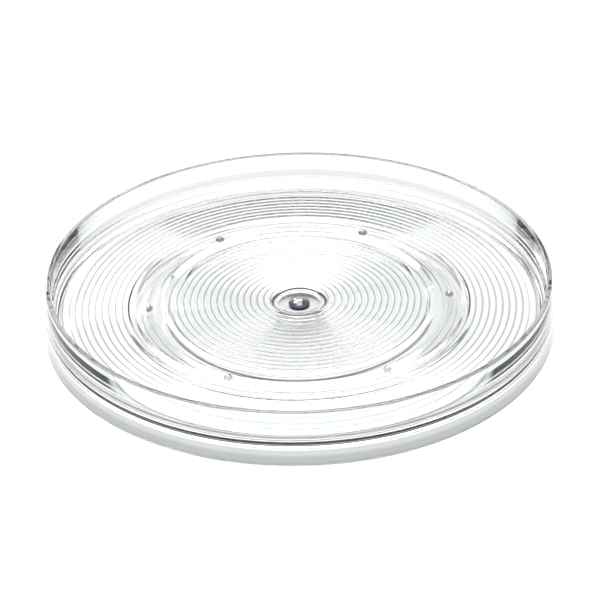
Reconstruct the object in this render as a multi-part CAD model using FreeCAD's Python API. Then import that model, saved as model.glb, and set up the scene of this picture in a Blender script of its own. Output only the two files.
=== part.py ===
import FreeCAD
import Part
import math
import os

# Clear round turntable: a walled tray that turns on a ring of steel balls over a smaller base.
# Millimetres, +Z up. The origin is the centre of the surface that the feet stand on.

# ---- driving dimensions ----
TRAY_DIAMETER = 355.6        # across the foot of the skirt, the widest place: 14 inches
RIM_Z = 40.9                 # top of the wall
FLOOR_Z = 16.4               # crests of the ribbed floor
SKIRT_FOOT_Z = 2.0           # the skirt hangs clear of the table by this much
FLOOR_THICK = 2.8            # crest to underside
RIB_PITCH = 4.64             # from valley to valley
RIB_DEPTH = 0.3
HUB_RADIUS = 15.5            # the recess that holds the centre cap
BALL_CIRCLE = 105.5          # radius of the ring of balls
BALL_RADIUS = 3.0
BALL_COUNT = 6
BALL_START_DEG = 3.0
BALL_PLAY = 0.25             # between a ball and each edge of its two tracks
BASE_RADIUS = 118.8
SOFT_EDGE = 0.5              # rounding on the moulded edges

# ---- tray ----
INNER_RIBS = 16
OUTER_RIBS = 9
FOOT_OF_WALL = TRAY_DIAMETER / 2
RIM_OUTER = FOOT_OF_WALL - 3.0
RIM_THICK = 3.2
RIM_EDGE = 0.7
WALL_LEAN = 0.4              # how far the wall leans out from the rim down to the ledge
LEDGE_Z = FLOOR_Z + 3.8      # small ledge where the wall meets the wider skirt
LEDGE = 0.8
COVE_RADIUS = 6.0            # the round corner between floor and wall
WALL_DRAFT = 1.5             # how far the wall's inner face leans in down to the cove
SKIRT_THICK = 2.6
SKIRT_LEAN = 2.4             # how far the skirt's inside leans in up to the floor
SKIRT_EDGE = 0.6
VALLEY_Z = FLOOR_Z - RIB_DEPTH
UNDER_Z = FLOOR_Z - FLOOR_THICK
BAND_RISE = 1.75             # the smooth band over the balls stands this much proud
BAND_THICK = 2.64
BAND_EDGE = 2.5
BAND_INNER, BAND_OUTER = 96.0, 114.5
BAND_FOOT_INNER = HUB_RADIUS + INNER_RIBS * RIB_PITCH + 1.0
BAND_FOOT_OUTER = 118.6
BAND_UNDER_Z = FLOOR_Z + BAND_RISE - BAND_THICK
TRACK_WIDTH = 2.4            # the ball runs on the two edges of this groove
TRACK_DEPTH = 0.45

# ---- pivot stack, from the top of the base upwards ----
BALL_Z = BAND_UNDER_Z - math.sqrt((BALL_RADIUS + BALL_PLAY) ** 2 - (TRACK_WIDTH / 2) ** 2)
BASE_TOP_Z = 2 * BALL_Z - BAND_UNDER_Z
BASE_THICK = 2.5
BASE_UNDER_Z = BASE_TOP_Z - BASE_THICK
SHANK_RADIUS = 2.5
SLEEVE_RADIUS = 4.0
RECESS_FLOOR_Z = FLOOR_Z - 4.6
HUB_UNDER_Z = RECESS_FLOOR_Z - 1.5
HUB_WALL = 2.5
HUB_WASHER_THICK = 0.4
CAP_RADIUS = 7.35
CAP_SHEET = 0.5
CAP_SKIRT = 1.0
CAP_RISE = 3.4
CAP_FOOT_Z = RECESS_FLOOR_Z + HUB_WASHER_THICK + 0.2
SLEEVE_TOP_Z = CAP_FOOT_Z + 0.2
PUSH_NUT_THICK = 0.35
THRUST_WASHER_THICK = 0.5
THRUST_WASHER_RADIUS = 9.0
BACKING_THICK = 0.6
BACKING_RADIUS = 7.0
RIVET_HEAD_RADIUS = 5.5
RIVET_HEAD_HEIGHT = 1.7
RIVET_TOP_Z = CAP_FOOT_Z + 2.2
RUNNING_GAP = 0.05           # tray bore to sleeve

# ---- ball cage ----
CAGE_HALF_WIDTH = 5.0
CAGE_HALF_HEIGHT = 0.6
CAGE_EDGE = 0.3
POCKET_RADIUS = BALL_RADIUS + 0.3

# ---- base and feet ----
GUIDE_TOP_Z = BASE_TOP_Z + 2.4
GUIDE_THICK = 2.2
GUIDE_FILLET = 0.8
GUIDE_INNER = 92.0
BASE_FOOT_Z = 1.7
FOOT_COUNT = 6
FOOT_SPAN_DEG = 8.0          # each foot is a short arc under the outer guide ring
FOOT_START_DEG = BALL_START_DEG + 30.0
WELL_RADIUS = 9.5            # the rivet head sits inside a short ring
WELL_FOOT_Z = BASE_FOOT_Z + 1.5

ORIGIN = FreeCAD.Vector(0, 0, 0)
UP = FreeCAD.Vector(0, 0, 1)


class Via:
    """A point that the curve to the next corner bulges through."""

    def __init__(self, r, z):
        self.at = FreeCAD.Vector(r, 0, z)


def corner(item):
    """The corner's point in the XZ plane and the radius that rounds it."""
    return FreeCAD.Vector(item[0], 0, item[1]), (item[2] if len(item) > 2 else 0.0)


def rounding(before, at, after, radius):
    """The tangent arc that rounds a corner, as its start, middle and end."""
    back, ahead = (before - at).normalize(), (after - at).normalize()
    half = back.getAngle(ahead) / 2
    reach = radius / math.tan(half)
    inward = (back + ahead).normalize()
    middle = at + inward * (radius / math.sin(half) - radius)
    return at + back * reach, middle, at + ahead * reach


def revolved(items):
    """Turns a closed outline of corners (r, z[, radius]) and Via points about the Z axis."""
    corners = [i for i, item in enumerate(items) if not isinstance(item, Via)]
    ends = {}
    edges = []
    for n, i in enumerate(corners):
        at, radius = corner(items[i])
        if radius:
            before = corner(items[corners[n - 1]])[0]
            after = corner(items[corners[(n + 1) % len(corners)]])[0]
            start, middle, end = rounding(before, at, after, radius)
            edges.append((i + 0.5, Part.Arc(start, middle, end).toShape()))
            ends[i] = (start, end)
        else:
            ends[i] = (at, at)
    for n, i in enumerate(corners):
        j = corners[(n + 1) % len(corners)]
        start, end = ends[i][1], ends[j][0]
        between = items[(i + 1) % len(items)]
        if isinstance(between, Via):
            edges.append((i + 0.9, Part.Arc(start, between.at, end).toShape()))
        elif start.distanceToPoint(end) > 1e-6:
            edges.append((i + 0.9, Part.LineSegment(start, end).toShape()))
    wire = Part.Wire([edge for _, edge in sorted(edges, key=lambda pair: pair[0])])
    return Part.Face(wire).revolve(ORIGIN, UP, 360)


def ring(inner, outer, low, high, edge=0.0):
    """A flat ring, its four edges rounded."""
    return revolved([(inner, low, edge), (outer, low, edge), (outer, high, edge), (inner, high, edge)])


def turned(shape, degrees):
    """A copy of the shape, turned about the Z axis."""
    copy = shape.copy()
    copy.rotate(ORIGIN, UP, degrees)
    return copy


def ribs(start, count):
    """Convex ribs side by side: one arc over each pitch, valley to valley."""
    items = []
    for n in range(count):
        left = start + n * RIB_PITCH
        items += [Via(left + RIB_PITCH / 2, FLOOR_Z), (left + RIB_PITCH, VALLEY_Z)]
    return items


def tray():
    """Moulded tray: recessed hub, ribbed floor with a smooth raised band over the balls, wall and skirt."""
    rim_inner = RIM_OUTER - RIM_THICK
    cove_top = rim_inner - WALL_DRAFT
    skirt_inner = FOOT_OF_WALL - SKIRT_THICK
    bore = SLEEVE_RADIUS + RUNNING_GAP
    top = [(bore, RECESS_FLOOR_Z), (HUB_RADIUS, RECESS_FLOOR_Z, SOFT_EDGE), (HUB_RADIUS, VALLEY_Z)]
    top += ribs(HUB_RADIUS, INNER_RIBS)
    top += [
        (BAND_FOOT_INNER, VALLEY_Z, GUIDE_FILLET),
        (BAND_INNER, FLOOR_Z + BAND_RISE, BAND_EDGE),
        (BAND_OUTER, FLOOR_Z + BAND_RISE, BAND_EDGE),
        (BAND_FOOT_OUTER, VALLEY_Z),
    ]
    top += ribs(BAND_FOOT_OUTER, OUTER_RIBS)
    top += [
        (cove_top, VALLEY_Z, COVE_RADIUS),
        (rim_inner, RIM_Z, RIM_EDGE),
        (RIM_OUTER, RIM_Z, RIM_EDGE),
    ]
    outside = [
        (RIM_OUTER + WALL_LEAN, LEDGE_Z, SKIRT_EDGE),
        (RIM_OUTER + WALL_LEAN + LEDGE, LEDGE_Z - LEDGE, SKIRT_EDGE),
        (FOOT_OF_WALL, SKIRT_FOOT_Z, SKIRT_EDGE),
        (skirt_inner, SKIRT_FOOT_Z, SKIRT_EDGE),
    ]
    track_in, track_out = BALL_CIRCLE - TRACK_WIDTH / 2, BALL_CIRCLE + TRACK_WIDTH / 2
    under = [
        (skirt_inner - SKIRT_LEAN, UNDER_Z, COVE_RADIUS / 2),
        (BAND_FOOT_OUTER + 1.4, UNDER_Z, BAND_EDGE),
        (BAND_OUTER + 1.0, BAND_UNDER_Z, 1.0),
        (track_out, BAND_UNDER_Z),
        (track_out, BAND_UNDER_Z + TRACK_DEPTH),
        (track_in, BAND_UNDER_Z + TRACK_DEPTH),
        (track_in, BAND_UNDER_Z),
        (BAND_INNER - 1.0, BAND_UNDER_Z, 1.0),
        (BAND_FOOT_INNER - 1.4, UNDER_Z, BAND_EDGE),
        (HUB_RADIUS + HUB_WALL, UNDER_Z, 1.5),
        (HUB_RADIUS + HUB_WALL, HUB_UNDER_Z, GUIDE_FILLET),
        (bore, HUB_UNDER_Z),
    ]
    return revolved(top + outside + under)


def base_plate():
    """Moulded base: flat disc with a ball track between two guide rings; it stands on the outer one."""
    bore = SHANK_RADIUS + 0.1
    track_in, track_out = BALL_CIRCLE - TRACK_WIDTH / 2, BALL_CIRCLE + TRACK_WIDTH / 2
    return revolved([
        (bore, BASE_TOP_Z),
        (GUIDE_INNER, BASE_TOP_Z, GUIDE_FILLET),
        (GUIDE_INNER, GUIDE_TOP_Z, SOFT_EDGE),
        (GUIDE_INNER + GUIDE_THICK, GUIDE_TOP_Z, SOFT_EDGE),
        (GUIDE_INNER + GUIDE_THICK, BASE_TOP_Z, GUIDE_FILLET),
        (track_in, BASE_TOP_Z),
        (track_in, BASE_TOP_Z - TRACK_DEPTH),
        (track_out, BASE_TOP_Z - TRACK_DEPTH),
        (track_out, BASE_TOP_Z),
        (BASE_RADIUS - GUIDE_THICK, BASE_TOP_Z, GUIDE_FILLET),
        (BASE_RADIUS - GUIDE_THICK, GUIDE_TOP_Z, SOFT_EDGE),
        (BASE_RADIUS, GUIDE_TOP_Z, SOFT_EDGE),
        (BASE_RADIUS, BASE_FOOT_Z, SOFT_EDGE),
        (BASE_RADIUS - GUIDE_THICK, BASE_FOOT_Z, SOFT_EDGE),
        (BASE_RADIUS - GUIDE_THICK, BASE_UNDER_Z, GUIDE_FILLET),
        (WELL_RADIUS + GUIDE_THICK, BASE_UNDER_Z, GUIDE_FILLET),
        (WELL_RADIUS + GUIDE_THICK, WELL_FOOT_Z, SOFT_EDGE),
        (WELL_RADIUS, WELL_FOOT_Z, SOFT_EDGE),
        (WELL_RADIUS, BASE_UNDER_Z),
        (bore, BASE_UNDER_Z),
    ])


def foot():
    """Soft clear strip, stuck to the foot of the outer guide ring, centred on the X axis."""
    section = ring(BASE_RADIUS - GUIDE_THICK, BASE_RADIUS, 0, BASE_FOOT_Z)
    wedge = Part.makeCylinder(BASE_RADIUS + 1, BASE_FOOT_Z + 2, FreeCAD.Vector(0, 0, -1), UP, FOOT_SPAN_DEG)
    return section.common(turned(wedge, -FOOT_SPAN_DEG / 2))


def ball_cage():
    """Thin flat ring with a round pocket for each ball, which keeps the balls apart."""
    low, high = BALL_Z - CAGE_HALF_HEIGHT, BALL_Z + CAGE_HALF_HEIGHT
    cage = ring(BALL_CIRCLE - CAGE_HALF_WIDTH, BALL_CIRCLE + CAGE_HALF_WIDTH, low, high, CAGE_EDGE)
    hole_foot = FreeCAD.Vector(BALL_CIRCLE, 0, low - CAGE_HALF_HEIGHT)
    hole = Part.makeCylinder(POCKET_RADIUS, 4 * CAGE_HALF_HEIGHT, hole_foot)
    for n in range(BALL_COUNT):
        cage = cage.cut(turned(hole, BALL_START_DEG + n * 360 / BALL_COUNT))
    return cage


def ball():
    """One steel ball, on the X axis."""
    return Part.makeSphere(BALL_RADIUS, FreeCAD.Vector(BALL_CIRCLE, 0, BALL_Z))


def pivot_rivet():
    """Steel rivet: flat domed head under the base, shank up into the cap."""
    head_top = BASE_UNDER_Z - BACKING_THICK
    head_foot = head_top - RIVET_HEAD_HEIGHT
    return revolved([
        (0, head_foot),
        (RIVET_HEAD_RADIUS - 3.0, head_foot, 1.0),
        (RIVET_HEAD_RADIUS, head_top - 0.7, 0.5),
        (RIVET_HEAD_RADIUS, head_top),
        (SHANK_RADIUS, head_top),
        (SHANK_RADIUS, RIVET_TOP_Z, 0.4),
        (0, RIVET_TOP_Z),
    ])


def dome_cap():
    """Pressed sheet cap over the end of the rivet: short skirt and shallow dome."""
    shoulder = CAP_FOOT_Z + CAP_SKIRT
    top = shoulder + CAP_RISE
    half_r = CAP_RADIUS * 0.55
    sphere = (CAP_RADIUS ** 2 + CAP_RISE ** 2) / (2 * CAP_RISE)
    centre = top - sphere
    inner = sphere - CAP_SHEET
    inner_r = CAP_RADIUS - CAP_SHEET
    inner_shoulder = centre + math.sqrt(inner ** 2 - inner_r ** 2)
    return revolved([
        (inner_r, CAP_FOOT_Z),
        (CAP_RADIUS, CAP_FOOT_Z),
        (CAP_RADIUS, shoulder),
        Via(half_r, centre + math.sqrt(sphere ** 2 - half_r ** 2)),
        (0, top),
        (0, top - CAP_SHEET),
        Via(half_r, centre + math.sqrt(inner ** 2 - half_r ** 2)),
        (inner_r, inner_shoulder),
    ])


def washers():
    """The flat rings of the pivot stack, each as inner and outer radius, low and high z."""
    recess, top, under = RECESS_FLOOR_Z, BASE_TOP_Z, BASE_UNDER_Z
    nut_top = SLEEVE_TOP_Z + PUSH_NUT_THICK
    return {
        "push_nut": ring(SHANK_RADIUS, CAP_RADIUS - CAP_SHEET, SLEEVE_TOP_Z, nut_top),
        "hub_washer": ring(SLEEVE_RADIUS + 0.3, HUB_RADIUS - 0.8, recess, recess + HUB_WASHER_THICK, 0.12),
        "spacer_sleeve": ring(SHANK_RADIUS + 0.05, SLEEVE_RADIUS, top, SLEEVE_TOP_Z, 0.2),
        "thrust_washer": ring(
            SLEEVE_RADIUS + 0.1, THRUST_WASHER_RADIUS, top, top + THRUST_WASHER_THICK, 0.15
        ),
        "backing_washer": ring(SHANK_RADIUS + 0.1, BACKING_RADIUS, under - BACKING_THICK, under, 0.15),
    }


def parts():
    """Every node's name and solid."""
    made = {
        "tray": tray(),
        "base_plate": base_plate(),
        "ball_cage": ball_cage(),
        "pivot_rivet": pivot_rivet(),
        "dome_cap": dome_cap(),
    }
    made.update(washers())
    for n in range(BALL_COUNT):
        made[f"ball_{n + 1}"] = turned(ball(), BALL_START_DEG + n * 360 / BALL_COUNT)
    for n in range(FOOT_COUNT):
        made[f"foot_{n + 1}"] = turned(foot(), FOOT_START_DEG + n * 360 / FOOT_COUNT)
    return made


def main():
    os.makedirs("parts", exist_ok=True)
    for name, shape in parts().items():
        solids = shape.Solids
        if len(solids) != 1 or not shape.isValid():
            raise RuntimeError(f"{name}: {len(solids)} solids, valid {shape.isValid()}")
        solid = solids[0]
        if solid.Volume < 0:
            solid.reverse()
        solid.exportStep(f"parts/{name}.step")
        print(f"{name}: {solid.Volume / 1000:.2f} cm3")
    print(f"ball centre z {BALL_Z:.4f}, base top z {BASE_TOP_Z:.4f}, base underside z {BASE_UNDER_Z:.4f}")


main()
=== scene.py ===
import math
import bpy
import bmesh
from mathutils import Matrix, Vector


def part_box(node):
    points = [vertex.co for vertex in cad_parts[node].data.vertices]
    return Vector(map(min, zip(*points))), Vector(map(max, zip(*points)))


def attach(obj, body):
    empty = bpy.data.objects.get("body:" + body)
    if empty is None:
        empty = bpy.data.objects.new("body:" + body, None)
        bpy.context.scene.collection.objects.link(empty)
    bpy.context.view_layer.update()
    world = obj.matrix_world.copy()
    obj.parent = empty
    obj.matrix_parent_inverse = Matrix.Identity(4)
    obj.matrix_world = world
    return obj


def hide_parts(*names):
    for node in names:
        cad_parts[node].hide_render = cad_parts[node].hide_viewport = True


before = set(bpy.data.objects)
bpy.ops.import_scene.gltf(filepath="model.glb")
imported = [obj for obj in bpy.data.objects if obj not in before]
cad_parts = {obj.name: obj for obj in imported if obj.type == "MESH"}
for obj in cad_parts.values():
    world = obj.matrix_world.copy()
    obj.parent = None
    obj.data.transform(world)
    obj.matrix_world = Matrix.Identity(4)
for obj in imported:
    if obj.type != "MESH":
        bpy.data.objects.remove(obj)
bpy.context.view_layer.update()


# ---- feet ----
# Six short arcs of soft clear strip, cut from cast polyurethane and stuck under the base's
# outer ring. Their lower edges are eased, and they carry the whole stand.
MM = 0.001


def rounded(corners):
    """Outline of a section: corners (r, z) or (r, z, radius) in millimetres, as points in metres."""
    points = []
    count = len(corners)
    for n, corner in enumerate(corners):
        at = Vector(corner[:2])
        radius = corner[2] if len(corner) > 2 else 0
        if not radius:
            points.append(at)
            continue
        back = (Vector(corners[n - 1][:2]) - at).normalized()
        ahead = (Vector(corners[(n + 1) % count][:2]) - at).normalized()
        half = back.angle(ahead) / 2
        centre = at + (back + ahead).normalized() * (radius / math.sin(half))
        reach = radius / math.tan(half)
        start, end = at + back * reach - centre, at + ahead * reach - centre
        sweep = math.atan2(start.x * end.y - start.y * end.x, start.dot(end))
        steps = max(2, math.ceil(abs(sweep) / math.radians(12)))
        for k in range(steps + 1):
            points.append(centre + Matrix.Rotation(sweep * k / steps, 2) @ start)
    return [(p.x * MM, p.y * MM) for p in points]


def link_piece(name, data):
    """Object with a mesh, light or camera, linked into the scene."""
    piece = bpy.data.objects.new(name, data)
    bpy.context.scene.collection.objects.link(piece)
    return piece


def smooth(mesh):
    """Smooth shading that keeps real corners crisp."""
    mesh.shade_smooth()
    mesh.set_sharp_from_angle(angle=math.radians(32))


def smooth_piece(name, made):
    """Linked object from a finished bmesh, with its faces turned outward."""
    bmesh.ops.recalc_face_normals(made, faces=made.faces)
    mesh = bpy.data.meshes.new(name)
    made.to_mesh(mesh)
    made.free()
    smooth(mesh)
    return link_piece(name, mesh)


def turned(name, outline, segments=96, centre=(0, 0)):
    """Closed solid made by turning an outline of (r, z) about an upright axis at centre."""
    made = bmesh.new()
    rings = []
    for r, z in outline:
        if r < 1e-7:
            rings.append([made.verts.new((centre[0], centre[1], z))])
            continue
        ring = []
        for k in range(segments):
            angle = 2 * math.pi * k / segments
            x, y = centre[0] + r * math.cos(angle), centre[1] + r * math.sin(angle)
            ring.append(made.verts.new((x, y, z)))
        rings.append(ring)
    for n, ring in enumerate(rings):
        other = rings[(n + 1) % len(rings)]
        for k in range(segments):
            m = (k + 1) % segments
            if len(ring) == 1 and len(other) == 1:
                break
            if len(ring) == 1:
                made.faces.new((ring[0], other[k], other[m]))
            elif len(other) == 1:
                made.faces.new((ring[k], other[0], ring[m]))
            else:
                made.faces.new((ring[k], other[k], other[m], ring[m]))
    return smooth_piece(name, made)


def group_of(name, inputs, outputs):
    """Empty node group with named number inputs (with their defaults) and outputs."""
    group = bpy.data.node_groups.new(name, "ShaderNodeTree")
    for label, value in inputs.items():
        socket = group.interface.new_socket(label, in_out="INPUT", socket_type="NodeSocketFloat")
        socket.default_value = value
    for label, kind in outputs.items():
        group.interface.new_socket(label, in_out="OUTPUT", socket_type=kind)
    return group, group.nodes.new("NodeGroupInput"), group.nodes.new("NodeGroupOutput")


def moulded_surface():
    """Skin of a moulded part: faint flow marks, hairline handling scratches and fine dust."""
    inputs = {"Smooth": 0.02, "Dull": 0.08, "Scratches": 0.5}
    outputs = {"Roughness": "NodeSocketFloat", "Height": "NodeSocketFloat", "Dust": "NodeSocketFloat"}
    group, given, result = group_of("moulded_surface", inputs, outputs)
    add, join = group.nodes.new, group.links.new
    place = add("ShaderNodeTexCoord")
    flow = add("ShaderNodeTexNoise")
    flow.inputs["Scale"].default_value = 22
    flow.inputs["Detail"].default_value = 4
    hair = add("ShaderNodeTexVoronoi")
    hair.feature = "DISTANCE_TO_EDGE"
    hair.inputs["Scale"].default_value = 120
    bend = add("ShaderNodeTexNoise")
    bend.inputs["Scale"].default_value = 30
    bent = add("ShaderNodeVectorMath")
    bent.operation = "MULTIPLY_ADD"
    bent.inputs[1].default_value = (0.02, 0.02, 0.02)
    line = add("ShaderNodeMapRange")
    line.inputs["From Max"].default_value = 0.012
    line.inputs["To Min"].default_value = 1
    line.inputs["To Max"].default_value = 0
    patch = add("ShaderNodeTexNoise")
    patch.inputs["Scale"].default_value = 60
    some = add("ShaderNodeMapRange")
    some.inputs["From Min"].default_value = 0.56
    some.inputs["From Max"].default_value = 0.66
    kept = add("ShaderNodeMath")
    kept.operation = "MULTIPLY"
    scratch = add("ShaderNodeMath")
    scratch.operation = "MULTIPLY"
    specks = add("ShaderNodeTexVoronoi")
    specks.inputs["Scale"].default_value = 260
    dust = add("ShaderNodeMapRange")
    dust.inputs["From Max"].default_value = 0.09
    dust.inputs["To Min"].default_value = 1
    dust.inputs["To Max"].default_value = 0
    mix = add("ShaderNodeMapRange")
    mix.inputs["From Min"].default_value = 0.35
    mix.inputs["From Max"].default_value = 0.7
    rough = add("ShaderNodeMath")
    rough.operation = "MULTIPLY_ADD"
    rough.inputs[1].default_value = 0.12
    height = add("ShaderNodeMath")
    height.operation = "SUBTRACT"
    for texture in (flow, bend, patch, specks):
        join(place.outputs["Object"], texture.inputs["Vector"])
    join(bend.outputs["Color"], bent.inputs[0])
    join(place.outputs["Object"], bent.inputs[2])
    join(bent.outputs[0], hair.inputs["Vector"])
    join(hair.outputs["Distance"], line.inputs["Value"])
    join(patch.outputs["Fac"], some.inputs["Value"])
    join(line.outputs[0], kept.inputs[0])
    join(some.outputs[0], kept.inputs[1])
    join(kept.outputs[0], scratch.inputs[0])
    join(given.outputs["Scratches"], scratch.inputs[1])
    join(specks.outputs["Distance"], dust.inputs["Value"])
    join(flow.outputs["Fac"], mix.inputs["Value"])
    join(given.outputs["Smooth"], mix.inputs["To Min"])
    join(given.outputs["Dull"], mix.inputs["To Max"])
    join(scratch.outputs[0], rough.inputs[0])
    join(mix.outputs[0], rough.inputs[2])
    join(flow.outputs["Fac"], height.inputs[0])
    join(scratch.outputs[0], height.inputs[1])
    join(rough.outputs[0], result.inputs["Roughness"])
    join(height.outputs[0], result.inputs["Height"])
    join(dust.outputs[0], result.inputs["Dust"])
    return group


MOULDED_SURFACE = moulded_surface()


def finish_of(name):
    """New material that holds only a Principled shader and its output."""
    material = bpy.data.materials.new(name)
    material.use_nodes = True
    tree = material.node_tree
    tree.nodes.clear()
    shader = tree.nodes.new("ShaderNodeBsdfPrincipled")
    output = tree.nodes.new("ShaderNodeOutputMaterial")
    tree.links.new(shader.outputs[0], output.inputs["Surface"])
    return material, tree, shader


def two_tones(tree, factor, one, other, target):
    """Colour between two tones by a mask, into a shader's Base Color."""
    blend = tree.nodes.new("ShaderNodeMix")
    blend.data_type = "RGBA"
    blend.inputs["A"].default_value = (*one, 1)
    blend.inputs["B"].default_value = (*other, 1)
    tree.links.new(factor, blend.inputs["Factor"])
    tree.links.new(blend.outputs["Result"], target)


def bumped(tree, height, strength, depth, shader):
    """Normal of a shader from a height, depth in metres."""
    bump = tree.nodes.new("ShaderNodeBump")
    bump.inputs["Strength"].default_value = strength
    bump.inputs["Distance"].default_value = depth
    tree.links.new(height, bump.inputs["Height"])
    tree.links.new(bump.outputs[0], shader.inputs["Normal"])


def clear_plastic(name, tone, dusty, ior, gloss, dull, scratches, depth, absorbed, density):
    """Clear moulding: bends light, is tinted by its thickness and lets lamps through."""
    material, tree, shader = finish_of(name)
    output = tree.nodes["Material Output"]
    shader.inputs["Transmission Weight"].default_value = 1
    shader.inputs["IOR"].default_value = ior
    skin = tree.nodes.new("ShaderNodeGroup")
    skin.node_tree = MOULDED_SURFACE
    skin.inputs["Smooth"].default_value = gloss
    skin.inputs["Dull"].default_value = dull
    skin.inputs["Scratches"].default_value = scratches
    tree.links.new(skin.outputs["Roughness"], shader.inputs["Roughness"])
    two_tones(tree, skin.outputs["Dust"], tone, dusty, shader.inputs["Base Color"])
    bumped(tree, skin.outputs["Height"], 0.3, depth, shader)
    through = tree.nodes.new("ShaderNodeBsdfTransparent")
    through.inputs["Color"].default_value = (0.955, 0.96, 0.955, 1)
    path = tree.nodes.new("ShaderNodeLightPath")
    shown = shader
    for ray in ("Is Shadow Ray", "Is Diffuse Ray"):
        lets = tree.nodes.new("ShaderNodeMixShader")
        tree.links.new(path.outputs[ray], lets.inputs[0])
        tree.links.new(shown.outputs[0], lets.inputs[1])
        tree.links.new(through.outputs[0], lets.inputs[2])
        shown = lets
    tree.links.new(shown.outputs[0], output.inputs["Surface"])
    inside = tree.nodes.new("ShaderNodeVolumeAbsorption")
    inside.inputs["Color"].default_value = (*absorbed, 1)
    inside.inputs["Density"].default_value = density
    tree.links.new(inside.outputs[0], output.inputs["Volume"])
    return material


soft_clear = clear_plastic(
    "soft_clear", (0.95, 0.96, 0.95), (0.8, 0.8, 0.78), ior=1.49,
    gloss=0.12, dull=0.25, scratches=0.6, depth=0.00005, absorbed=(0.9, 0.93, 0.9), density=8,
)
FOOT_COUNT = 6
FOOT_START = 33
FOOT_SPAN = 8
FOOT_STEPS = 24
FOOT_INNER, FOOT_OUTER, FOOT_EDGE = 116.7, 118.7, 0.3


def strip(name, section, middle, span, steps):
    """Closed arc of a section (r, z), centred on an angle in degrees."""
    made = bmesh.new()
    rows = []
    for k in range(steps + 1):
        angle = math.radians(middle + span * (k / steps - 0.5))
        x, y = math.cos(angle), math.sin(angle)
        rows.append([made.verts.new((r * x, r * y, z)) for r, z in section])
    for row, other in zip(rows, rows[1:]):
        for k in range(len(row)):
            m = (k + 1) % len(row)
            made.faces.new((row[k], row[m], other[m], other[k]))
    made.faces.new(rows[0][::-1])
    made.faces.new(rows[-1])
    return smooth_piece(name, made)


foot_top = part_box("foot_1")[1].z / MM
foot_section = rounded([
    (FOOT_INNER, 0, FOOT_EDGE),
    (FOOT_OUTER, 0, FOOT_EDGE),
    (FOOT_OUTER, foot_top),
    (FOOT_INNER, foot_top),
])
for n in range(FOOT_COUNT):
    turn = FOOT_START + 360 * n / FOOT_COUNT
    foot = strip(f"soft_strip_{n + 1}", foot_section, turn, FOOT_SPAN, FOOT_STEPS)
    foot.data.materials.append(soft_clear)
    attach(foot, "base")
    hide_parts(f"foot_{n + 1}")


# ---- base plate ----
# Clear injection-moulded disc that stands still. A shallow square track for the balls runs
# between two guide rings, and the outer ring reaches down to the feet.
BALL_CIRCLE = 105.5
TRACK_HALF = 1.2
TRACK_DEPTH = 0.45
BASE_RADIUS = 118.8
BASE_BORE = 2.6
GUIDE_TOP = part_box("base_plate")[1].z / MM
GUIDE_HEIGHT = 2.4
BASE_THICK = 2.5
BASE_TOP = GUIDE_TOP - GUIDE_HEIGHT
BASE_UNDER = BASE_TOP - BASE_THICK
RING_FOOT = 1.7
BOSS_FOOT = 3.2
BOSS_INNER = 9.5
WALL = 2.2
GUIDE_INNER = 92.0
WALL_ROOT, WALL_EDGE = 0.8, 0.5
BASE_SEGMENTS = 288
TRACK_LIP, TRACK_ROOT = 0.08, 0.1

crystal = clear_plastic(
    "crystal_base", (0.98, 0.985, 0.975), (0.93, 0.93, 0.92), ior=1.57,
    gloss=0.02, dull=0.06, scratches=0.5, depth=0.00004, absorbed=(0.86, 0.93, 0.89), density=9,
)
base = turned("footed_base", rounded([
    (BASE_BORE, BASE_TOP),
    (GUIDE_INNER, BASE_TOP, WALL_ROOT),
    (GUIDE_INNER, GUIDE_TOP, WALL_EDGE),
    (GUIDE_INNER + WALL, GUIDE_TOP, WALL_EDGE),
    (GUIDE_INNER + WALL, BASE_TOP, WALL_ROOT),
    (BALL_CIRCLE - TRACK_HALF, BASE_TOP, TRACK_LIP),
    (BALL_CIRCLE - TRACK_HALF, BASE_TOP - TRACK_DEPTH, TRACK_ROOT),
    (BALL_CIRCLE + TRACK_HALF, BASE_TOP - TRACK_DEPTH, TRACK_ROOT),
    (BALL_CIRCLE + TRACK_HALF, BASE_TOP, TRACK_LIP),
    (BASE_RADIUS - WALL, BASE_TOP, WALL_ROOT),
    (BASE_RADIUS - WALL, GUIDE_TOP, WALL_EDGE),
    (BASE_RADIUS, GUIDE_TOP, WALL_EDGE),
    (BASE_RADIUS, RING_FOOT, WALL_EDGE),
    (BASE_RADIUS - WALL, RING_FOOT, WALL_EDGE),
    (BASE_RADIUS - WALL, BASE_UNDER, WALL_ROOT),
    (BOSS_INNER + WALL, BASE_UNDER, WALL_ROOT),
    (BOSS_INNER + WALL, BOSS_FOOT, WALL_EDGE),
    (BOSS_INNER, BOSS_FOOT, WALL_EDGE),
    (BOSS_INNER, BASE_UNDER, 0.3),
    (BASE_BORE, BASE_UNDER),
]), BASE_SEGMENTS)
base.data.materials.append(crystal)
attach(base, "base")
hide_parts("base_plate")


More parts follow.
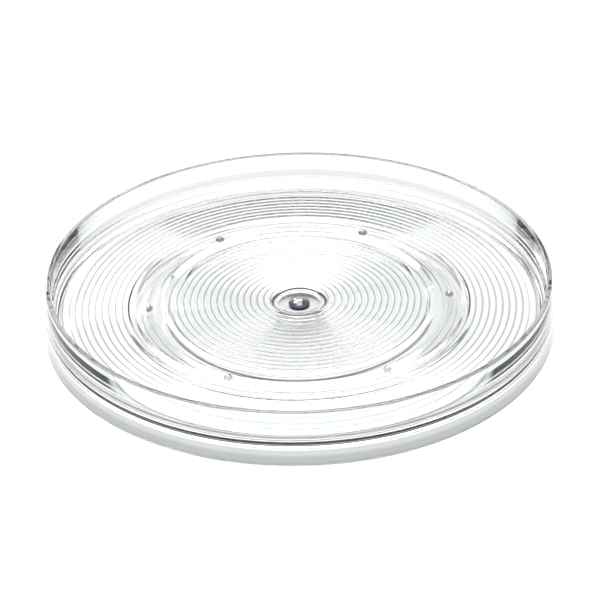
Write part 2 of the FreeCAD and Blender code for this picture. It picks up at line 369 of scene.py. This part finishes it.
# ---- pivot rivet, its washers and sleeve ----
# A zinc-plated steel rivet comes up through the base with a washer under it. A white acetal
# sleeve and washer over it are what the tray turns against, and a push nut grips its end.
def metal_grain():
    """Fine turning marks round the upright axis, with stains."""
    inputs = {"Smooth": 0.2, "Dull": 0.4, "Grain": 3000.0}
    outputs = {"Roughness": "NodeSocketFloat", "Height": "NodeSocketFloat", "Stain": "NodeSocketFloat"}
    group, given, result = group_of("metal_grain", inputs, outputs)
    add, join = group.nodes.new, group.links.new
    place = add("ShaderNodeTexCoord")
    flat = add("ShaderNodeVectorMath")
    flat.operation = "MULTIPLY"
    flat.inputs[1].default_value = (1, 1, 0)
    reach = add("ShaderNodeVectorMath")
    reach.operation = "LENGTH"
    rings = add("ShaderNodeTexNoise")
    rings.noise_dimensions = "1D"
    rings.inputs["Detail"].default_value = 5
    stain = add("ShaderNodeTexNoise")
    stain.inputs["Scale"].default_value = 180
    stain.inputs["Detail"].default_value = 6
    spread = add("ShaderNodeMath")
    spread.operation = "MULTIPLY_ADD"
    spread.inputs[1].default_value = 0.5
    rough = add("ShaderNodeMapRange")
    rough.inputs["From Min"].default_value = 0.4
    rough.inputs["From Max"].default_value = 1.1
    join(place.outputs["Object"], flat.inputs[0])
    join(flat.outputs[0], reach.inputs[0])
    join(reach.outputs["Value"], rings.inputs["W"])
    join(given.outputs["Grain"], rings.inputs["Scale"])
    join(place.outputs["Object"], stain.inputs["Vector"])
    join(stain.outputs["Fac"], spread.inputs[0])
    join(rings.outputs["Fac"], spread.inputs[2])
    join(spread.outputs[0], rough.inputs["Value"])
    join(given.outputs["Smooth"], rough.inputs["To Min"])
    join(given.outputs["Dull"], rough.inputs["To Max"])
    join(rough.outputs[0], result.inputs["Roughness"])
    join(rings.outputs["Fac"], result.inputs["Height"])
    join(stain.outputs["Fac"], result.inputs["Stain"])
    return group


METAL_GRAIN = metal_grain()


def metal(name, bright, stained, gloss, dull, grain, strength, depth, brushed=0):
    """Metal finish with turning marks and a little staining."""
    material, tree, shader = finish_of(name)
    shader.inputs["Metallic"].default_value = 1
    shader.inputs["Anisotropic"].default_value = brushed
    marks = tree.nodes.new("ShaderNodeGroup")
    marks.node_tree = METAL_GRAIN
    marks.inputs["Smooth"].default_value = gloss
    marks.inputs["Dull"].default_value = dull
    marks.inputs["Grain"].default_value = grain
    tree.links.new(marks.outputs["Roughness"], shader.inputs["Roughness"])
    two_tones(tree, marks.outputs["Stain"], bright, stained, shader.inputs["Base Color"])
    bumped(tree, marks.outputs["Height"], strength, depth, shader)
    return material


zinc = metal(
    "zinc_plate", (0.72, 0.73, 0.75), (0.55, 0.56, 0.56),
    gloss=0.22, dull=0.42, grain=2500, strength=0.2, depth=0.00002,
)


def covered(piece_name, node, section, body, material, segments=96):
    """Turned piece that stands for a CAD node of the pivot stack."""
    piece = turned(piece_name, rounded(section), segments)
    piece.data.materials.append(material)
    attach(piece, body)
    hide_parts(node)
    return piece


def ring_section(node, inner, edge):
    """Square section of a flat ring: its outside and height from the CAD node, its bore given."""
    low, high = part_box(node)
    outer = high.x / MM
    foot, top = low.z / MM, high.z / MM
    return [(inner, foot, edge), (outer, foot, edge), (outer, top, edge), (inner, top, edge)]


rivet_low, rivet_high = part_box("pivot_rivet")
head_foot, rivet_top = rivet_low.z / MM, rivet_high.z / MM
SHANK_RADIUS = 2.5
HEAD_RADIUS = 5.5
HEAD_THICK = 1.7
covered("pivot_pin", "pivot_rivet", [
    (0, head_foot),
    (SHANK_RADIUS, head_foot, 1.0),
    (HEAD_RADIUS, head_foot + 1.0, 0.5),
    (HEAD_RADIUS, head_foot + HEAD_THICK, 0.1),
    (SHANK_RADIUS, head_foot + HEAD_THICK),
    (SHANK_RADIUS, rivet_top, 0.4),
    (0, rivet_top),
], "base", zinc)
under_section = ring_section("backing_washer", BASE_BORE, 0.15)
covered("washer_under", "backing_washer", under_section, "base", zinc)
nut_section = ring_section("push_nut", SHANK_RADIUS, 0.08)
covered("nut_ring", "push_nut", nut_section, "base", zinc)

acetal, acetal_tree, acetal_shader = finish_of("white_acetal")
acetal_skin = acetal_tree.nodes.new("ShaderNodeGroup")
acetal_skin.node_tree = MOULDED_SURFACE
acetal_skin.inputs["Smooth"].default_value = 0.35
acetal_skin.inputs["Dull"].default_value = 0.5
acetal_shader.inputs["Subsurface Weight"].default_value = 0.1
acetal_shader.inputs["Subsurface Scale"].default_value = 0.002
acetal_tree.links.new(acetal_skin.outputs["Roughness"], acetal_shader.inputs["Roughness"])
two_tones(
    acetal_tree, acetal_skin.outputs["Dust"], (0.86, 0.86, 0.84), (0.6, 0.59, 0.57),
    acetal_shader.inputs["Base Color"],
)
bumped(acetal_tree, acetal_skin.outputs["Height"], 0.2, 0.00003, acetal_shader)
SLEEVE_BORE = 2.55
SLIP_BORE = 4.1
sleeve_section = ring_section("spacer_sleeve", SLEEVE_BORE, 0.2)
covered("sleeve_tube", "spacer_sleeve", sleeve_section, "base", acetal)
slip_section = ring_section("thrust_washer", SLIP_BORE, 0.15)
covered("slip_washer", "thrust_washer", slip_section, "base", acetal)


# ---- ball cage ----
# Thin flat clear ring that keeps the six balls a sixth of a turn apart. It is punched with
# a round pocket for each ball, and rides loose between the tray and the base.
cage_low, cage_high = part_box("ball_cage")
POCKET_RADIUS = 3.3
BALL_COUNT = 6
BALL_START = 3


def cut_from(piece, others):
    """Cuts other solids from a piece, and removes them."""
    for other in others:
        cut = piece.modifiers.new("cut", "BOOLEAN")
        cut.operation = "DIFFERENCE"
        cut.solver = "EXACT"
        cut.object = other
    bpy.context.view_layer.update()
    finished = piece.evaluated_get(bpy.context.evaluated_depsgraph_get())
    whole = bpy.data.meshes.new_from_object(finished)
    piece.modifiers.clear()
    piece.data = whole
    for other in others:
        bpy.data.objects.remove(other)
    smooth(whole)


CAGE_HALF_WIDTH = 5.0
CAGE_EDGE = 0.3
cage_foot, cage_top = cage_low.z / MM, cage_high.z / MM
cage = turned("cage_ring", rounded([
    (BALL_CIRCLE - CAGE_HALF_WIDTH, cage_foot, CAGE_EDGE),
    (BALL_CIRCLE + CAGE_HALF_WIDTH, cage_foot, CAGE_EDGE),
    (BALL_CIRCLE + CAGE_HALF_WIDTH, cage_top, CAGE_EDGE),
    (BALL_CIRCLE - CAGE_HALF_WIDTH, cage_top, CAGE_EDGE),
]), 240)
pocket = rounded([
    (0, cage_foot - 1),
    (POCKET_RADIUS, cage_foot - 1),
    (POCKET_RADIUS, cage_top + 1),
    (0, cage_top + 1),
])
pockets = []
for n in range(BALL_COUNT):
    angle = math.radians(BALL_START + 360 * n / BALL_COUNT)
    centre = (BALL_CIRCLE * MM * math.cos(angle), BALL_CIRCLE * MM * math.sin(angle))
    pockets.append(turned(f"pocket_{n}", pocket, 64, centre))
cut_from(cage, pockets)
cage.data.materials.append(crystal)
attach(cage, "cage")
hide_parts("ball_cage")


# ---- balls ----
# Six 6 mm bearing balls of hardened steel, ground and polished, with the faint rolling
# bands and film of a ball that has run dry in a plastic track.
BALL_RADIUS = 3.0
ball_steel = metal(
    "ball_steel", (0.62, 0.63, 0.64), (0.48, 0.48, 0.48),
    gloss=0.06, dull=0.2, grain=900, strength=0.05, depth=0.00001,
)
for n in range(BALL_COUNT):
    node = f"ball_{n + 1}"
    low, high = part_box(node)
    made = bmesh.new()
    middle = Matrix.Translation((low + high) / 2)
    bmesh.ops.create_icosphere(made, subdivisions=4, radius=BALL_RADIUS * MM, matrix=middle)
    ball = smooth_piece(f"steel_ball_{n + 1}", made)
    ball.data.materials.append(ball_steel)
    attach(ball, f"{node}_body")
    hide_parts(node)


# ---- tray ----
# The one large moulding, in clear polystyrene: recessed hub, rounded ribs, a smooth raised
# band over the balls, more ribs, a round corner and a wall that runs down into a skirt.
tray_low, tray_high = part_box("tray")
RIM_Z = tray_high.z / MM
SKIRT_FOOT_Z = tray_low.z / MM
TRAY_DEPTH = 24.5
FLOOR_Z = RIM_Z - TRAY_DEPTH
FLOOR_THICK = 2.8
UNDER_Z = FLOOR_Z - FLOOR_THICK
RIB_PITCH = 4.64
RIB_DEPTH = 0.3
VALLEY_Z = FLOOR_Z - RIB_DEPTH
INNER_RIBS, OUTER_RIBS = 16, 9
HUB_RADIUS = 15.5
HUB_DEPTH, HUB_FLOOR_THICK = 4.6, 1.5
HUB_FLOOR_Z = FLOOR_Z - HUB_DEPTH
HUB_UNDER_Z = HUB_FLOOR_Z - HUB_FLOOR_THICK
HUB_BOSS_RADIUS = HUB_RADIUS + 2.5
TRAY_BORE = 4.05
BAND_RISE, BAND_THICK = 1.75, 2.64
BAND_Z = FLOOR_Z + BAND_RISE
BAND_UNDER_Z = BAND_Z - BAND_THICK
BAND_FOOT_INNER = HUB_RADIUS + INNER_RIBS * RIB_PITCH + 1
BAND_INNER, BAND_OUTER, BAND_FOOT_OUTER = 96.0, 114.5, 118.6
BAND_EDGE = 2.5
FOOT_OF_WALL = 177.8
SKIRT_FLARE, SKIRT_THICK, SKIRT_EDGE = 3.0, 2.6, 0.6
SKIRT_INNER = FOOT_OF_WALL - SKIRT_THICK
RIM_OUTER = FOOT_OF_WALL - SKIRT_FLARE
RIM_THICK, RIM_EDGE = 3.2, 0.7
RIM_INNER = RIM_OUTER - RIM_THICK
WALL_LEAN = 0.4
LEDGE_WIDTH = 0.8
LEDGE_HIGH, LEDGE_LOW = FLOOR_Z + 3.8, FLOOR_Z + 3.0
COVE_TOP = RIM_INNER - 1.5
COVE_CURVE = 6.0
TRAY_SEGMENTS = 300


def rib_points(start, count, steps=7):
    """Tops of convex ribs side by side, each an arc from valley to valley."""
    half = RIB_PITCH / 2
    curve = (half ** 2 + RIB_DEPTH ** 2) / (2 * RIB_DEPTH)
    points = []
    for n in range(count):
        middle = start + (n + 0.5) * RIB_PITCH
        for k in range(steps + 1 if n == count - 1 else steps):
            across = half * (2 * k / steps - 1)
            points.append((middle + across, FLOOR_Z - curve + math.sqrt(curve ** 2 - across ** 2)))
    return points


tray_section = [(TRAY_BORE, HUB_FLOOR_Z), (HUB_RADIUS, HUB_FLOOR_Z, 0.5)]
tray_section += rib_points(HUB_RADIUS, INNER_RIBS)
tray_section += [
    (BAND_FOOT_INNER, VALLEY_Z, 0.8),
    (BAND_INNER, BAND_Z, BAND_EDGE),
    (BAND_OUTER, BAND_Z, BAND_EDGE),
]
tray_section += rib_points(BAND_FOOT_OUTER, OUTER_RIBS)
tray_section += [
    (COVE_TOP, VALLEY_Z, COVE_CURVE),
    (RIM_INNER, RIM_Z, RIM_EDGE),
    (RIM_OUTER, RIM_Z, RIM_EDGE),
    (RIM_OUTER + WALL_LEAN, LEDGE_HIGH, SKIRT_EDGE),
    (RIM_OUTER + WALL_LEAN + LEDGE_WIDTH, LEDGE_LOW, SKIRT_EDGE),
    (FOOT_OF_WALL, SKIRT_FOOT_Z, SKIRT_EDGE),
    (SKIRT_INNER, SKIRT_FOOT_Z, SKIRT_EDGE),
    (SKIRT_INNER - 2.4, UNDER_Z, 3.0),
    (BAND_FOOT_OUTER + 1.4, UNDER_Z, 2.5),
    (BAND_OUTER + 1.0, BAND_UNDER_Z, 1.0),
    (BALL_CIRCLE + TRACK_HALF, BAND_UNDER_Z, TRACK_LIP),
    (BALL_CIRCLE + TRACK_HALF, BAND_UNDER_Z + TRACK_DEPTH, TRACK_ROOT),
    (BALL_CIRCLE - TRACK_HALF, BAND_UNDER_Z + TRACK_DEPTH, TRACK_ROOT),
    (BALL_CIRCLE - TRACK_HALF, BAND_UNDER_Z, TRACK_LIP),
    (BAND_INNER - 1.0, BAND_UNDER_Z, 1.0),
    (BAND_FOOT_INNER - 1.4, UNDER_Z, 2.5),
    (HUB_BOSS_RADIUS, UNDER_Z, 1.5),
    (HUB_BOSS_RADIUS, HUB_UNDER_Z, 0.8),
    (TRAY_BORE, HUB_UNDER_Z),
]
tray_plastic = clear_plastic(
    "crystal_tray", (0.98, 0.988, 0.98), (0.93, 0.93, 0.92), ior=1.59,
    gloss=0.01, dull=0.035, scratches=0.35, depth=0.00003, absorbed=(0.86, 0.93, 0.89), density=9,
)


def painted_valley_shade(material, tone):
    """Painted shade: thin grey lines just above the sharp valleys between ribs, in place of the light
    those valleys throw aside.
    """
    tree = material.node_tree
    shader = tree.nodes["Principled BSDF"]
    clear = shader.inputs["Base Color"].links[0].from_socket
    place = tree.nodes.new("ShaderNodeTexCoord")
    split = tree.nodes.new("ShaderNodeSeparateXYZ")
    level = tree.nodes.new("ShaderNodeMapRange")
    level.inputs["From Min"].default_value = VALLEY_Z * MM
    level.inputs["From Max"].default_value = FLOOR_Z * MM
    line = tree.nodes.new("ShaderNodeValToRGB")
    ramp = line.color_ramp.elements
    ramp[0].position, ramp[0].color = 0.01, (1, 1, 1, 1)
    ramp[1].position, ramp[1].color = 0.58, (1, 1, 1, 1)
    for position in (0.03, 0.4):
        ramp.new(position).color = (*tone, 1)
    darker = tree.nodes.new("ShaderNodeMix")
    darker.data_type = "RGBA"
    darker.blend_type = "MULTIPLY"
    darker.inputs["Factor"].default_value = 1
    tree.links.new(place.outputs["Object"], split.inputs[0])
    tree.links.new(split.outputs["Z"], level.inputs["Value"])
    tree.links.new(level.outputs[0], line.inputs[0])
    tree.links.new(clear, darker.inputs["A"])
    tree.links.new(line.outputs[0], darker.inputs["B"])
    tree.links.new(darker.outputs["Result"], shader.inputs["Base Color"])


# Colours of the wall and skirt by height above the table in millimetres, foot to rim: painted shade
# and reflection in grey-green bands down the skirt and a brownish band above the ledge, a near-clear
# band at the ledge, and the plastic's mint tint up the wall.
WALL_FOOT_SHADE = (0.48, 0.51, 0.47)
WALL_SHADE_AND_TINT = [
    (3.5, (0.40, 0.42, 0.385)),
    (5.4, (0.52, 0.545, 0.51)),
    (7.6, (0.42, 0.445, 0.41)),
    (10.5, (0.49, 0.515, 0.48)),
    (12.6, (0.43, 0.455, 0.415)),
    (14.0, (0.90, 0.90, 0.89)),
    (19.4, (0.97, 0.97, 0.96)),
    (20.6, (0.97, 0.97, 0.96)),
    (21.3, (0.50, 0.47, 0.43)),
    (25.4, (0.54, 0.51, 0.475)),
    (26.0, (0.42, 0.39, 0.375)),
    (26.7, (0.82, 0.91, 0.87)),
    (39.4, (0.83, 0.92, 0.88)),
]
# Painted shade: a dark purplish line over the rim.
RIM_SHADE = (0.38, 0.33, 0.34)
FACE_BLEND = 0.0008
RIM_BLEND_LOW, RIM_BLEND_HIGH = 0.0012, 0.0006


def painted_wall_shading(material, face_radius):
    """Painted shade and reflection on the outer face of the wall and skirt and over the rim, by
    height, with the plastic's mint tint up the wall.
    """
    tree = material.node_tree
    shader = tree.nodes["Principled BSDF"]
    clear = shader.inputs["Base Color"].links[0].from_socket
    place = tree.nodes.new("ShaderNodeTexCoord")
    split = tree.nodes.new("ShaderNodeSeparateXYZ")
    flat = tree.nodes.new("ShaderNodeVectorMath")
    flat.operation = "MULTIPLY"
    flat.inputs[1].default_value = (1, 1, 0)
    reach = tree.nodes.new("ShaderNodeVectorMath")
    reach.operation = "LENGTH"
    outer = tree.nodes.new("ShaderNodeMapRange")
    outer.inputs["From Min"].default_value = face_radius - FACE_BLEND
    outer.inputs["From Max"].default_value = face_radius
    rim = tree.nodes.new("ShaderNodeMapRange")
    rim.inputs["From Min"].default_value = tray_high.z - RIM_BLEND_LOW
    rim.inputs["From Max"].default_value = tray_high.z - RIM_BLEND_HIGH
    either = tree.nodes.new("ShaderNodeMath")
    either.operation = "MAXIMUM"
    level = tree.nodes.new("ShaderNodeMapRange")
    level.inputs["From Max"].default_value = tray_high.z
    tones = tree.nodes.new("ShaderNodeValToRGB")
    ramp = tones.color_ramp.elements
    ramp[0].position, ramp[0].color = 0.05, (*WALL_FOOT_SHADE, 1)
    ramp[1].position, ramp[1].color = 0.985, (*RIM_SHADE, 1)
    for height, tone in WALL_SHADE_AND_TINT:
        ramp.new(height / RIM_Z).color = (*tone, 1)
    whole = tree.nodes.new("ShaderNodeMix")
    whole.data_type = "RGBA"
    tree.links.new(place.outputs["Object"], split.inputs[0])
    tree.links.new(place.outputs["Object"], flat.inputs[0])
    tree.links.new(flat.outputs[0], reach.inputs[0])
    tree.links.new(reach.outputs["Value"], outer.inputs["Value"])
    tree.links.new(split.outputs["Z"], level.inputs["Value"])
    tree.links.new(level.outputs[0], tones.inputs[0])
    tree.links.new(split.outputs["Z"], rim.inputs["Value"])
    tree.links.new(outer.outputs[0], either.inputs[0])
    tree.links.new(rim.outputs[0], either.inputs[1])
    tree.links.new(either.outputs[0], whole.inputs["Factor"])
    tree.links.new(clear, whole.inputs["A"])
    tree.links.new(tones.outputs[0], whole.inputs["B"])
    tree.links.new(whole.outputs["Result"], shader.inputs["Base Color"])


# Painted shade: grey lines along the rib valleys of the tray.
painted_valley_shade(tray_plastic, (0.30, 0.32, 0.30))
FACE_RADIUS = RIM_OUTER - 0.4
# Painted shade and reflection in bands down the outer wall, skirt and rim.
painted_wall_shading(tray_plastic, FACE_RADIUS * MM)
covered(
    "ribbed_tray", "tray", tray_section, "tray_body", tray_plastic, TRAY_SEGMENTS,
)


# ---- hub washer ----
# Grey turned washer laid in the tray's recess. Its fine circular grain spreads each light
# into wedges that fan out from the middle.
HUB_WASHER_BORE = 4.3
washer_metal = metal(
    "turned_grey", (0.40, 0.40, 0.39), (0.33, 0.33, 0.325),
    gloss=0.25, dull=0.42, grain=2600, strength=0.5, depth=0.00005, brushed=0.7,
)
covered(
    "hub_ring", "hub_washer", ring_section("hub_washer", HUB_WASHER_BORE, 0.12),
    "tray_body", washer_metal, 192,
)


# ---- dome cap ----
# Push-on cap pressed from thin sheet, bright chromed. It hides the end of the rivet, and
# has a short straight skirt under a deep dome.
cap_low, cap_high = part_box("dome_cap")
CAP_FOOT, CAP_TOP = cap_low.z / MM, cap_high.z / MM
CAP_RADIUS = 7.35
CAP_SKIRT = 1.0
CAP_SHEET = 0.5


def dome(radius, shoulder, top, steps=18):
    """Half outline of a dome, from its shoulder to its top, in millimetres."""
    rise = top - shoulder
    curve = (radius ** 2 + rise ** 2) / (2 * rise)
    reach = math.asin(radius / curve)
    if rise > radius:
        reach = math.pi - reach
    turns = [reach * (1 - k / steps) for k in range(steps + 1)]
    return [(curve * math.sin(turn), top - curve + curve * math.cos(turn)) for turn in turns]


cap_outside = dome(CAP_RADIUS, CAP_FOOT + CAP_SKIRT, CAP_TOP)
cap_inside = dome(CAP_RADIUS - CAP_SHEET, CAP_FOOT + CAP_SKIRT - 0.1, CAP_TOP - CAP_SHEET)
cap_section = [(CAP_RADIUS - CAP_SHEET, CAP_FOOT, 0.1), (CAP_RADIUS, CAP_FOOT, 0.1)]
cap_section += cap_outside + cap_inside[::-1]
# Painted reflection: the chrome's base colour is a dark bluish grey, far below chrome's own, so that
# it shows the dim navy of a dark room.
chrome = metal(
    "chrome_painted_dark", (0.33, 0.34, 0.39), (0.27, 0.28, 0.32),
    gloss=0.02, dull=0.07, grain=500, strength=0.03, depth=0.00001,
)
covered("chrome_dome", "dome_cap", cap_section, "base", chrome, 128)


# ---- studio ----
# A sheet of pale card under the object, a wide soft box overhead, a large and a smaller one
# high behind it and a small low one behind on the left. The room is white low down behind
# the object and dim everywhere else.
FLOOR_REACH = 6.0
floor_mesh = bpy.data.meshes.new("pale_card")
corners = [(x * FLOOR_REACH, y * FLOOR_REACH, 0) for x, y in ((-1, -1), (1, -1), (1, 1), (-1, 1))]
floor_mesh.from_pydata(corners, [], [(0, 1, 2, 3)])
floor = link_piece("pale_card", floor_mesh)
card, card_tree, card_shader = finish_of("pale_card")
card_shader.inputs["Specular IOR Level"].default_value = 0.1
card_shader.inputs["Roughness"].default_value = 0.9
card_grain = card_tree.nodes.new("ShaderNodeTexNoise")
card_grain.inputs["Scale"].default_value = 4
two_tones(
    card_tree, card_grain.outputs["Fac"], (0.95, 0.95, 0.95), (0.97, 0.97, 0.97),
    card_shader.inputs["Base Color"],
)
floor_mesh.materials.append(card)


def softbox(name, place, size, watts):
    """Soft light of a width and height in metres that points at the middle of the object."""
    light = bpy.data.lights.new(name, "AREA")
    light.shape = "RECTANGLE"
    light.size, light.size_y = size
    light.energy = watts
    lamp = link_piece(name, light)
    lamp.location = place
    lamp.rotation_euler = (-Vector(place)).to_track_quat("-Z", "Y").to_euler()


softbox("overhead_box", (0.0, 0.0, 3.2), (2.4, 2.4), 31)
softbox("back_box", (-0.15, 1.95, 2.55), (2.3, 1.25), 56)
softbox("back_left_box", (-1.4, 1.1, 2.6), (1.0, 1.3), 17)
softbox("side_strip", (-0.64, 1.69, 0.88), (0.3, 0.4), 3)

world = bpy.data.worlds.new("studio_room")
bpy.context.scene.world = world
world.use_nodes = True
room = world.node_tree
room.nodes.clear()
direction = room.nodes.new("ShaderNodeTexCoord")
parts = room.nodes.new("ShaderNodeSeparateXYZ")
lean = room.nodes.new("ShaderNodeMath")
lean.operation = "MULTIPLY_ADD"
lean.inputs[1].default_value = 0.5
high = room.nodes.new("ShaderNodeMath")
high.operation = "MULTIPLY_ADD"
high.inputs[1].default_value = -0.25
high.inputs[2].default_value = 0.5
fade = room.nodes.new("ShaderNodeValToRGB")
ROOM_LOW_TONE = (0.22, 0.22, 0.235)
ROOM_TONES = [
    (0.45, (0.17, 0.16, 0.18)),
    (0.78, (0.22, 0.215, 0.225)),
    (0.93, (1.0, 1.0, 1.0)),
]
fade.color_ramp.elements[0].color = (*ROOM_LOW_TONE, 1)
for position, tone in ROOM_TONES:
    fade.color_ramp.elements.new(position).color = (*tone, 1)
lit = room.nodes.new("ShaderNodeBackground")
ROOM_STRENGTH = 2.2
lit.inputs["Strength"].default_value = ROOM_STRENGTH
seen = room.nodes.new("ShaderNodeBackground")
seen.inputs["Color"].default_value = (0.95, 0.95, 0.95, 1)
path = room.nodes.new("ShaderNodeLightPath")
choose = room.nodes.new("ShaderNodeMixShader")
sky = room.nodes.new("ShaderNodeOutputWorld")
room.links.new(direction.outputs["Generated"], parts.inputs[0])
room.links.new(parts.outputs["Y"], lean.inputs[0])
room.links.new(parts.outputs["Z"], high.inputs[0])
room.links.new(high.outputs[0], lean.inputs[2])
room.links.new(lean.outputs[0], fade.inputs[0])
room.links.new(fade.outputs[0], lit.inputs["Color"])
room.links.new(path.outputs["Is Camera Ray"], choose.inputs[0])
room.links.new(lit.outputs[0], choose.inputs[1])
room.links.new(seen.outputs[0], choose.inputs[2])
room.links.new(choose.outputs[0], sky.inputs[0])
bpy.context.scene.view_settings.view_transform = "Standard"
# Light crosses many clear faces here, so it is followed for more turns than usual.
LIGHT_TURNS = 28
bpy.context.scene.cycles.max_bounces = LIGHT_TURNS
bpy.context.scene.cycles.transmission_bounces = LIGHT_TURNS

# The camera stands 1.42 m off with a long lens, looking down at the floor of the tray.
CAMERA_DISTANCE = 1.42
CAMERA_ELEVATION = math.radians(31.583)
CAMERA_ROLL = math.radians(-1.215)
lens = bpy.data.cameras.new("long_lens")
lens.sensor_width = 36
lens.lens = 121.9
camera = link_piece("long_lens", lens)
aim = Vector((0, 0, FLOOR_Z * MM))
away = Vector((0, -math.cos(CAMERA_ELEVATION), math.sin(CAMERA_ELEVATION)))
camera.location = aim + away * CAMERA_DISTANCE
facing = (-away).to_track_quat("-Z", "Y").to_matrix().to_4x4()
camera.rotation_euler = (facing @ Matrix.Rotation(CAMERA_ROLL, 4, "Z")).to_euler()
lens.shift_x = 0.00145
lens.shift_y = -0.002
bpy.context.scene.camera = camera

bpy.context.view_layer.update()
